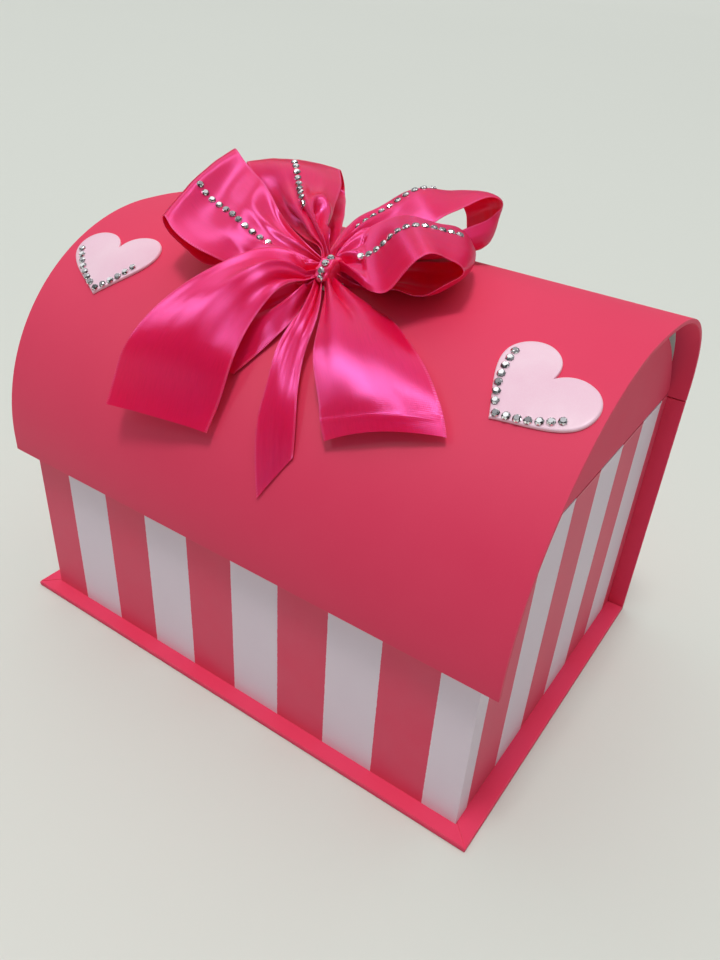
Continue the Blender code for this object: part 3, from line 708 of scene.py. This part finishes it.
def lid_outline(inset, rebate=0.0):
    """The cover's section as (y, z) from the flap's lower edge to the crease, moved inwards by inset."""
    radius = LID_ARC_R - inset
    outline = [(LID_ARC_Y - radius, FLAP_Z)]
    arc_steps = 72
    for k in range(arc_steps + 1):
        angle = math.pi / 2 * k / arc_steps
        outline.append((LID_ARC_Y - radius * math.cos(angle), LID_ARC_Z + radius * math.sin(angle)))
    half_depth = HALF_DEPTH - LID_ARC_Y - inset
    rise = LID_ARC_Z + LID_ARC_R - LID_REAR_Z - inset
    shoulder_steps = 60
    for k in range(1, shoulder_steps + 1):
        angle = math.pi / 2 * (1 - k / shoulder_steps)
        across = max(math.cos(angle), 0) ** (2 / LID_REAR_POWER)
        up = max(math.sin(angle), 0) ** (2 / LID_REAR_POWER)
        point = (LID_ARC_Y + half_depth * across, LID_REAR_Z + rise * up)
        if rebate and point[1] < REBATE_TOP:
            break
        outline.append(point)
    crease_gap = 0.12 * MM
    if rebate:
        outline.append((HALF_DEPTH - rebate, REBATE_TOP))
    outline.append((HALF_DEPTH - inset - rebate, CREASE_Z + crease_gap))
    return outline


def prism(name, outline, x_low, x_high, edge, sharp_angle=32):
    """A prism along X over (y, z) points, with its sharp edges rounded by edge."""
    bm = extruded([(x_low, y, z) for y, z in outline], (x_high - x_low, 0, 0))
    bmesh.ops.recalc_face_normals(bm, faces=bm.faces)
    if edge:
        sharp = [item for item in bm.edges if item.calc_face_angle(0) > SHARP]
        bmesh.ops.bevel(bm, geom=sharp, offset=edge, segments=3, profile=0.5, affect="EDGES",
                        clamp_overlap=True)
    return mesh_from(bm, name, sharp_angle)


def make_cover():
    """The curved cover, with the recess at its back that the hinge paper fills."""
    rebate = 0.45 * MM
    outline = lid_outline(0, rebate) + lid_outline(COVER_T)[::-1]
    mesh = prism("cover_shell", outline, -HALF_W, HALF_W, 0.35 * MM)
    place_object("cover_shell", mesh, "coral_paper", "lid", ("lid_cover",))

    set_back, margin, paper_t = 0.17, 0.3, 0.3
    groove_depth, groove_width = 0.22, 0.8
    heights = [1.0, 2, 4, 10, 30, 60, 90, 120, 138, 144, 147]
    heights += [147.5 + 0.25 * k for k in range(25)]
    heights += [154, 155, 156, 157, REBATE_TOP / MM]
    rise = (LID_ARC_Z + LID_ARC_R - LID_REAR_Z) / MM
    rows = []
    for z in heights:
        crease = groove_depth * math.exp(-((z - CREASE_Z / MM) / groove_width) ** 2)
        back = HALF_DEPTH / MM
        if z > LID_REAR_Z / MM:
            share = 1 - ((z - LID_REAR_Z / MM) / rise) ** LID_REAR_POWER
            back = (LID_ARC_Y + (HALF_DEPTH - LID_ARC_Y) * share ** (1 / LID_REAR_POWER)) / MM
        rows.append((back - set_back - crease, z))
    columns = np.linspace(-HALF_W / MM + margin, HALF_W / MM - margin, 40)
    grid = np.array([[(x, y, z) for x in columns] for y, z in rows]) * MM
    mesh = sheet_mesh("hinge_paper", grid, paper_t * MM, sharp_angle=60)
    paper = place_object("hinge_paper", mesh, "coral_paper", None, ("back_paper",))
    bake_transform(paper)


def make_turn_ins():
    """Paper turned in over the base board, mitred at its two front corners."""
    low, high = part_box("base_board")
    edge, width, seam = 0.35 * MM, 17 * MM, 0.55 * MM
    left, right = low.x + edge, high.x - edge
    front, back = low.y + edge, high.y - edge
    inner = front + width
    strips = {"turn_in_front": [(left + seam, front), (right - seam, front),
                                (right - width - seam, inner), (left + width + seam, inner)]}
    for name, x, side in (("turn_in_left", left, 1), ("turn_in_right", right, -1)):
        inside = x + side * width
        strips[name] = [(x, front + seam), (inside, inner + seam), (inside, back), (x, back)]
    for name, corners in strips.items():
        height = 0.38 * MM if name == "turn_in_front" else 0.30 * MM
        bm = extruded([(x, y, BASE_TOP + 0.02 * MM) for x, y in corners], (0, 0, height))
        place_object(name, mesh_from(bm, name), "coral_paper", "box")


def make_rims():
    """Striped paper folded over the top edges of the tray."""
    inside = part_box("tray_lining")
    top = TRAY[1].z
    start = math.asin((TRAY_FRONT_TOP_Z - LID_ARC_Z) / SHOULDER_R)
    end = math.asin((top - LID_ARC_Z) / SHOULDER_R)
    steps = 12
    line = []
    for k in range(steps + 1):
        angle = start + (end - start) * k / steps
        line.append((LID_ARC_Y - SHOULDER_R * math.cos(angle), LID_ARC_Z + SHOULDER_R * math.sin(angle)))
    front_y = TRAY[0].y + 0.2 * MM
    line = [point for point in line if point[0] > front_y + 1 * MM]
    line = [(front_y, TRAY_FRONT_TOP_Z), (line[0][0] - 0.6 * MM, TRAY_FRONT_TOP_Z)] + line
    line += [(y * MM, top) for y in range(-70, 101, 10)]
    lift, lap = 0.12 * MM, 0.35 * MM
    skirt_out, skirt_in = 1.2 * MM, 13 * MM

    def place_rim(name, rows):
        mesh = sheet_mesh(name, np.array(rows), 0.1 * MM, sharp_angle=35)
        place_object(name, mesh, "striped_paper", "box")

    for name, side in (("rim_paper_left", -1), ("rim_paper_right", 1)):
        outer = side * (TRAY[1].x + 0.1 * MM)
        inner = side * (inside[1].x - lap)
        profile = [(outer, -skirt_out), (outer, 0), (outer, lift),
                   (inner, lift), (inner, 0), (inner, -skirt_in)]
        place_rim(name, [[(x, y, z + dz) for x, dz in profile] for y, z in line])
    half = inside[1].x - 0.2 * MM
    columns = np.linspace(-half, half, 30)
    for name, edge_z, outer, inner in (
            ("rim_paper_rear", top, TRAY[1].y + 0.06 * MM, inside[1].y - lap),
            ("rim_paper_front", TRAY_FRONT_TOP_Z, TRAY[0].y - 0.08 * MM, inside[0].y + lap)):
        profile = [(outer, -skirt_out), (outer, lift), (inner, lift), (inner, -skirt_in)]
        place_rim(name, [[(x, y, edge_z + dz) for x in columns] for y, dz in profile])


def make_end_linings():
    """White lining paper inside the lid's two arched ends."""
    low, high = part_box("lid_end_right")
    margin, gap, paper_t = 4 * MM, 0.03 * MM, 0.18 * MM
    radius = high.z - LID_ARC_Z - margin
    bottom = low.z + margin
    front_angle = math.acos((bottom - LID_ARC_Z) / radius)
    rear_angle = math.asin((high.y - margin - LID_ARC_Y) / radius)
    steps = 60
    arch = []
    for k in range(steps + 1):
        angle = -front_angle + (front_angle + rear_angle) * k / steps
        arch.append((LID_ARC_Y + radius * math.sin(angle), LID_ARC_Z + radius * math.cos(angle)))
    arch.append((high.y - margin, bottom))
    for name, side in (("end_lining_left", -1), ("end_lining_right", 1)):
        face = side * (low.x - gap)
        x_low, x_high = sorted((face, face - side * paper_t))
        place_object(name, prism(name, arch, x_low, x_high, 0), "lining_paper", "lid")


def dress_boards():
    """Round the edges of four of the frame's boards a little and give the listed frame nodes their finishes.
    """
    slots = {
        "coral_paper": ["base_board", "back_board", "back_paper", "lid_cover",
                        "lid_end_left", "lid_end_right"],
        "striped_paper": ["stripe_wrap"],
        "greyboard": ["tray_floor", "tray_front", "tray_rear", "tray_left", "tray_right"],
        "lining_paper": ["tray_lining", "lid_lining"],
        "foam_pad": ["bow_pad"],
    }
    rounded = {"base_board": 0.35, "back_board": 0.3, "lid_end_left": 0.3, "lid_end_right": 0.3}
    for slot, names in slots.items():
        for name in names:
            node = NODES[name]
            for place in node.material_slots:
                place.material = FINISHES[slot]
            if name in rounded:
                weld = node.modifiers.new("weld", "WELD")
                weld.merge_threshold = 0.01 * MM
                bevel = node.modifiers.new("edges", "BEVEL")
                bevel.width = rounded[name] * MM
                bevel.segments = 3
                bevel.limit_method = "ANGLE"
                bevel.angle_limit = SHARP


# ---------------------------------------------------------------- ribbon

def ribbon_width(name):
    """The flat width of a loop's or a tail's ribbon."""
    return NARROW.get(name, RIBBON_W)


def ribbon_grid(name, rails):
    """Points over a ribbon, and their distance along it: gathered near the knot, flat further out."""
    near, middle, far = rails
    rows = len(middle)
    t = np.linspace(-1, 1, RIBBON_COLUMNS)[None, :, None]
    chord = (far - near)[:, None, :]
    mean = ((near + far) / 2)[:, None, :]
    centre = middle[:, None, :]
    grid = centre + chord * (t / 2) + (mean - centre) * t ** 2
    normal = grid_frame(grid)
    run = distances(middle)
    width = np.linalg.norm(np.diff(grid, axis=1), axis=2).sum(axis=1)
    ratio = np.maximum(ribbon_width(name) / np.maximum(width, 1e-6), 1)
    waves, phase, seed, reach = PLEATS[name]
    height, length, start = BILLOWS[name]
    deepest, settle = 2.4 * MM, 12 * MM
    depth = np.minimum(width / (4 * waves) * np.sqrt(np.maximum(ratio ** 2 - 1, 0)), deepest)
    ends = np.minimum(run, run[-1] - run) if name in LOOPS else run
    depth = depth / (1 + (ends / (reach * MM)) ** 4)
    for i in range(rows):
        for j in range(RIBBON_COLUMNS):
            s = t[0, j, 0]
            sway = noise.noise(Vector((s * 2.2, run[i] / (60 * MM), seed * 7.3))) * 1.1
            pleat = math.sin(math.pi * waves * s + phase + sway)
            pleat = pleat + 0.25 * math.sin(math.pi * waves * 2.3 * s + phase * 2.0 + sway)
            soft = noise.noise(Vector((s * 1.6, run[i] / (26 * MM), seed * 3.1 + 40))) * 0.55 * MM
            fine = noise.noise(Vector((s * 5.0, run[i] / (30 * MM), seed * 5.7 + 90))) * 0.16 * MM
            billow = height * math.sin(math.tau * run[i] / length + start + 0.5 * s)
            lift = depth[i] * pleat + (soft + fine + billow) * min(run[i] / settle, 1)
            if name in CREASES:
                place, ridge, spread = CREASES[name]
                lift += ridge * math.exp(-abs(run[-1] - place - run[i]) / spread)
            if name in TUCKS:
                lift += tuck(name, run[i], s) * (1 if normal[i, j, 2] < 0 else -1)
            if name in CURLS:
                rise, reach_back = CURLS[name]
                lift += rise * max(1 - (run[-1] - run[i]) / reach_back, 0) ** 2
            grid[i, j] = grid[i, j] + normal[i, j] * lift
    if name in CUTS:
        share = 1 - CUTS[name] / run[-1] * (1 - t[0, :, 0] ** 2)
        for j in range(RIBBON_COLUMNS):
            grid[:, j] = sample_spline(grid[:, j].copy(), run, run * share[j])
    return grid, run


def tuck(name, distance, side):
    """How far a hollow pulls the ribbon down at a place; below zero is its rolled rim."""
    centre, middle, half_length, half_width, depth = TUCKS[name]
    u = (distance - centre) / half_length
    v = (side - middle) / (half_width * (0.75 + 0.25 * math.tanh(u)))
    away = math.hypot(u, v)
    return depth * (1 / (1 + math.exp((away - 0.75) / 0.09)) - 0.38 * math.exp(-((away - 1.15) / 0.28) ** 2))


def into_knot(station):
    """A narrow station inside the knot, on the way from a ribbon's end station."""
    station = np.array(station)
    middle = station[1] + (np.array(lid_point(*KNOT_AT)) - station[1]) * KNOT_REACH
    return middle + (station - station[1]) * KNOT_SQUEEZE


def smooth_rails(given, fewest):
    """The near edge, middle and far edge of a ribbon as smooth curves through its stations."""
    knots = distances(given[:, 1])
    places = np.linspace(0, knots[-1], max(fewest, round(knots[-1] / RIBBON_ROW)))
    return [sample_spline(given[:, k], knots, places) for k in range(3)]


def loop_rails(stations):
    """The rails of a loop, from inside the knot and back into it."""
    given = np.array(stations, float) * MM
    return smooth_rails(np.concatenate(([into_knot(given[0])], given, [into_knot(given[-1])])), 60)


def tail_rails(stations):
    """The rails of a tail over the lid, from inside the knot outwards."""
    flat = []
    for left, right, bulge in stations:
        middle = [(a + b) / 2 for a, b in zip(left, right)]
        middle[2] += bulge
        flat.append((left, middle, right))
    rails = smooth_rails(np.array(flat, float) * MM, 50)
    rails = np.array([[lid_point(*point) for point in rail] for rail in rails])
    start = into_knot(rails[:, 0])
    lead = np.linspace(0, 1, KNOT_ROWS, endpoint=False)[:, None]
    return [np.concatenate((start[k] + (rails[k, 0] - start[k]) * lead, rails[k])) for k in range(3)]


def make_ribbons():
    """Four loops and four tails. Returns each loop's grid, its run and its length inside the knot."""
    laid = {}
    for name, stations in {**LOOPS, **TAILS}.items():
        rails = loop_rails(stations) if name in LOOPS else tail_rails(stations)
        grid, run = ribbon_grid(name, rails)
        half = ribbon_width(name) / MM / 2
        across = np.linspace(-half, half, RIBBON_COLUMNS)
        uv = np.stack(np.broadcast_arrays(across[None, :], (run / MM)[:, None]), axis=2)
        mesh = sheet_mesh(name + "_ribbon", grid, RIBBON_T, uv, 70)
        inset = mesh.attributes.new("inset", "FLOAT", "POINT")
        inset.data.foreach_set("value", np.tile(half - np.abs(across), 2 * len(run)).astype(np.float32))
        piece = place_object(name + "_ribbon", mesh, "satin_ribbon", "lid", (name,))
        if name in LOOPS:
            laid[name] = (grid, run, np.linalg.norm(np.array(stations[0][1]) * MM - rails[1][0]))
    return laid


def make_knot():
    """The gathered centre of the bow, a waisted bundle of folds. Returns the places of its stones."""
    across, down, above = KNOT_AT
    turn = Matrix.Rotation(down / LID_ARC_R, 4, "X")
    centre = lid_point(across, down, above)
    rows, around = 40, 144
    bm = bmesh.new()
    layer = bm.loops.layers.uv.new("weave")
    rings = []
    for i in range(rows + 1):
        s = 2 * i / rows - 1
        ring = []
        for j in range(around):
            angle = math.tau * j / around
            waist = 0.86 + 0.18 * s * s
            close = math.sqrt(max(1 - abs(s) ** 6, 0.02))
            sway = noise.noise(Vector((s * 1.5, math.cos(angle) * 2, math.sin(angle) * 2))) * 1.6
            fold = math.sin(9 * angle + sway + s * 0.8) + 0.4 * math.sin(17 * angle + 2 * sway)
            radius = waist * close * (1 + 0.055 * fold)
            ring.append(bm.verts.new((s * KNOT_R[0], KNOT_R[1] * radius * math.cos(angle),
                                      KNOT_R[2] * radius * math.sin(angle))))
        rings.append(ring)
    half = RIBBON_W / MM / 2
    for i in range(rows):
        for j in range(around):
            spots = ((i, j), (i, j + 1), (i + 1, j + 1), (i + 1, j))
            face = bm.faces.new([rings[a][b % around] for a, b in spots])
            for loop, (a, b) in zip(face.loops, spots):
                loop[layer].uv = (half + b * 0.35, a * 0.4)
    for ring in (rings[0], rings[-1]):
        bm.faces.new(ring)
    bm.transform(Matrix.Translation(centre) @ turn)
    mesh = mesh_from(bm, "bow_knot_gather", 60)
    place_object("bow_knot_gather", mesh, "satin_ribbon", "lid", ("bow_knot",))
    turn = turn.to_3x3()
    sunk = 0.90
    places = []
    for k in range(KNOT_STONES):
        angle = math.radians(KNOT_FIRST_ANGLE + KNOT_STONE_STEP * k)
        up = turn @ Vector((0, -math.sin(angle) / KNOT_R[1], math.cos(angle) / KNOT_R[2])).normalized()
        rim = turn @ Vector((0, -KNOT_R[1] * math.sin(angle), KNOT_R[2] * math.cos(angle))) * sunk
        places.append((centre + rim, Vector((1, 0, 0)).cross(up).normalized(), up))
    return places


# ---------------------------------------------------------------- stones

# Painted reflections a stone's faces are drawn from, from dark to a bright painted glint.
PAINTED_FACET_GLINTS = (0.0, 0.06, 0.2, 0.4, 0.62, 0.8, 1.0, 1.0)


def add_stone(bm, layer, chance, point, direction, up):
    """One faceted stone with its flat back on a surface."""
    side = direction.cross(up).normalized()
    turn = Matrix((side, up.cross(side), up)).transposed()
    spin = chance.uniform(0, math.tau)
    tilt = Matrix.Rotation(math.radians(chance.uniform(-4, 4)), 3, "X")
    sectors = 8
    # each level: its share of the radius, its share of the height, its turn in sectors
    levels = [(1.0, 0.0, 0.0), (1.0, 0.20, 0.0), (0.80, 0.70, 0.5), (0.56, 1.0, 0.0)]
    rings = []
    for share, height, offset in levels:
        ring = []
        reach = STONE_D / 2 * share
        for k in range(sectors):
            angle = spin + math.tau * (k + offset) / sectors
            local = Vector((reach * math.cos(angle), reach * math.sin(angle), STONE_H * height))
            ring.append(bm.verts.new(point + turn @ (tilt @ local)))
        rings.append(ring)
    faces = [bm.faces.new(rings[0][::-1]), bm.faces.new(rings[-1])]
    for lower, upper in zip(rings, rings[1:]):
        offset_up = levels[rings.index(upper)][2]
        for k in range(sectors):
            n = (k + 1) % sectors
            if offset_up:
                faces.append(bm.faces.new((lower[k], lower[n], upper[k])))
                faces.append(bm.faces.new((lower[n], upper[n], upper[k])))
            elif levels[rings.index(lower)][2]:
                faces.append(bm.faces.new((lower[k], lower[n], upper[n])))
                faces.append(bm.faces.new((lower[k], upper[n], upper[k])))
            else:
                faces.append(bm.faces.new((lower[k], lower[n], upper[n], upper[k])))
    # Painted reflections: each facet, and the top face apart, gets a lighter or darker tone in its colour.
    for face in faces:
        face[layer] = chance.choice(PAINTED_FACET_GLINTS)
    faces[1][layer] = chance.uniform(0.15, 1.0)


def stone_row(name, places, seed):
    """A row of faceted stones that stands for a CAD row."""
    bm = bmesh.new()
    layer = bm.faces.layers.float.new("facet")
    chance = random.Random(seed)
    for point, direction, up in places:
        add_stone(bm, layer, chance, point, direction, up)
    place_object(name + "_set", mesh_from(bm, name), "rhinestone", "lid", (name,))


def loop_places(grid, run, lead, first, count, pitch):
    """Evenly spaced places along the middle of a ribbon, on its upper face."""
    normal = grid_frame(grid)
    middle = grid.shape[1] // 2
    line = grid[:, middle]
    first = first + lead
    places = []
    for k in range(count):
        row = int(np.argmin(np.abs(run - (first + k * pitch))))
        row = min(max(row, 1), len(run) - 2)
        direction = Vector(line[row + 1] - line[row - 1]).normalized()
        up = Vector(normal[row - 1:row + 2, middle - 1:middle + 2].reshape(-1, 3).mean(axis=0)).normalized()
        if up.z < 0:
            up = -up
        up = (up - direction * up.dot(direction)).normalized()
        share = (first + k * pitch - run[row]) / (run[row + 1] - run[row])
        point = Vector(line[row]) + (Vector(line[row + 1]) - Vector(line[row])) * share
        places.append((point + up * (RIBBON_T / 2 + 0.05 * MM), direction, up))
    return places


# ---------------------------------------------------------------- hearts

def bezier(a, b, c, d, steps):
    """Points of a cubic Bezier curve, without its last point."""
    points = []
    for k in range(steps):
        t = k / steps
        s = 1 - t
        points.append(tuple(s * s * s * a[i] + 3 * s * s * t * b[i] + 3 * s * t * t * c[i] + t * t * t * d[i]
                            for i in range(2)))
    return points


def heart_outline():
    """Right half then left half of a heart, in millimetres, with its tip at the origin."""
    half = bezier((0, 30), (2, 37), (7.5, 40.5), (14, 40.5), 16)
    half += bezier((14, 40.5), (21, 40.5), (26.3, 35), (26.3, 28), 16)
    half += bezier((26.3, 28), (26.3, 17), (9, 8), (0, 0), 26)
    mirrored = [(-x, y) for x, y in half[:0:-1]]
    return half + [(0, 0)] + mirrored


def heart_place(heart, x, y):
    """Across and down the lid for a point of a heart's own outline."""
    tip_across, tip_down, lean = HEARTS[heart]
    c, s = math.cos(math.radians(lean)), math.sin(math.radians(lean))
    return tip_across + (x * c + y * s) * MM, tip_down - (y * c - x * s) * MM


def make_heart(name):
    """A pearly card heart with a soft rounded rim, bent over the lid's curve."""
    outline = heart_outline()
    count = len(outline)
    middle = (0, 22)
    back, foot, crown = 0.15 * MM, 0.25 * MM, 0.12 * MM
    bm = bmesh.new()

    def ring(factor, above):
        made = []
        for x, y in outline:
            px = middle[0] + (x - middle[0]) * factor
            py = middle[1] + (y - middle[1]) * factor
            made.append(bm.verts.new(lid_point(*heart_place(name, px, py), above)))
        return made

    rounding = [(0.0, 1.0), (0.2, 1.0), (0.55, 0.995), (0.8, 0.985), (0.93, 0.968), (0.985, 0.945),
                (1.0, 0.92)]
    shrink = [0.84, 0.7, 0.55, 0.4, 0.25, 0.12]
    rings = [ring(0.985, back)]
    rings += [ring(factor, foot + (HEART_T - foot) * height) for height, factor in rounding]
    rings += [ring(factor, HEART_T + crown * (1 - factor)) for factor in shrink]
    for lower, upper in zip(rings, rings[1:]):
        for k in range(count):
            n = (k + 1) % count
            bm.faces.new((lower[k], lower[n], upper[n], upper[k]))
    close_ring(bm, rings[-1], lid_point(*heart_place(name, *middle), HEART_T + crown))
    floor = [ring(factor, back) for factor in (0.7, 0.4, 0.12)]
    for outer, inner in zip([rings[0]] + floor, floor):
        for k in range(count):
            n = (k + 1) % count
            bm.faces.new((outer[k], inner[k], inner[n], outer[n]))
    close_ring(bm, floor[-1][::-1], lid_point(*heart_place(name, *middle), back))
    place_object(name + "_card", mesh_from(bm, name, 60), "pink_card", "lid", (name,))


def heart_places(row):
    """Places of the stones inside one of a heart's lower edges, from near the tip upwards."""
    heart, side, first, count = HEART_ROWS[row]
    inset, bulge, edge_length = 2.6, 3.0, 38
    angle = math.radians(HEART_EDGE_ANGLE)
    spots = []
    for k in range(count):
        run = first + k * STONE_PITCH / MM
        inwards = inset - bulge * math.sin(math.pi * run / edge_length)
        x = side * (run * math.cos(angle) - inwards * math.sin(angle))
        y = run * math.sin(angle) + inwards * math.cos(angle)
        across, down = heart_place(heart, x, y)
        spots.append((lid_point(across, down, HEART_T + 0.1 * MM), lid_normal(down)))
    places = []
    for k, (point, up) in enumerate(spots):
        ahead = spots[min(k + 1, count - 1)][0] - spots[max(k - 1, 0)][0]
        places.append((point, (ahead - up * ahead.dot(up)).normalized(), up))
    return places


# ---------------------------------------------------------------- everything

make_camera()
make_floor()
make_light()

FINISHES = {make.__name__: make() for make in (
    coral_paper, striped_paper, greyboard, lining_paper, foam_pad, satin_ribbon, pink_card, rhinestone)}

dress_boards()
make_cover()
make_turn_ins()
make_rims()
make_end_linings()

LAID = make_ribbons()
stone_row("bow_knot_stones", make_knot(), 90)
for seed, (name, row) in enumerate(LOOP_STONES.items()):
    stone_row(name + "_stones", loop_places(*LAID[name], *row), seed)
for name in HEARTS:
    make_heart(name)
for seed, row in enumerate(HEART_ROWS):
    stone_row(row, heart_places(row), 20 + seed)
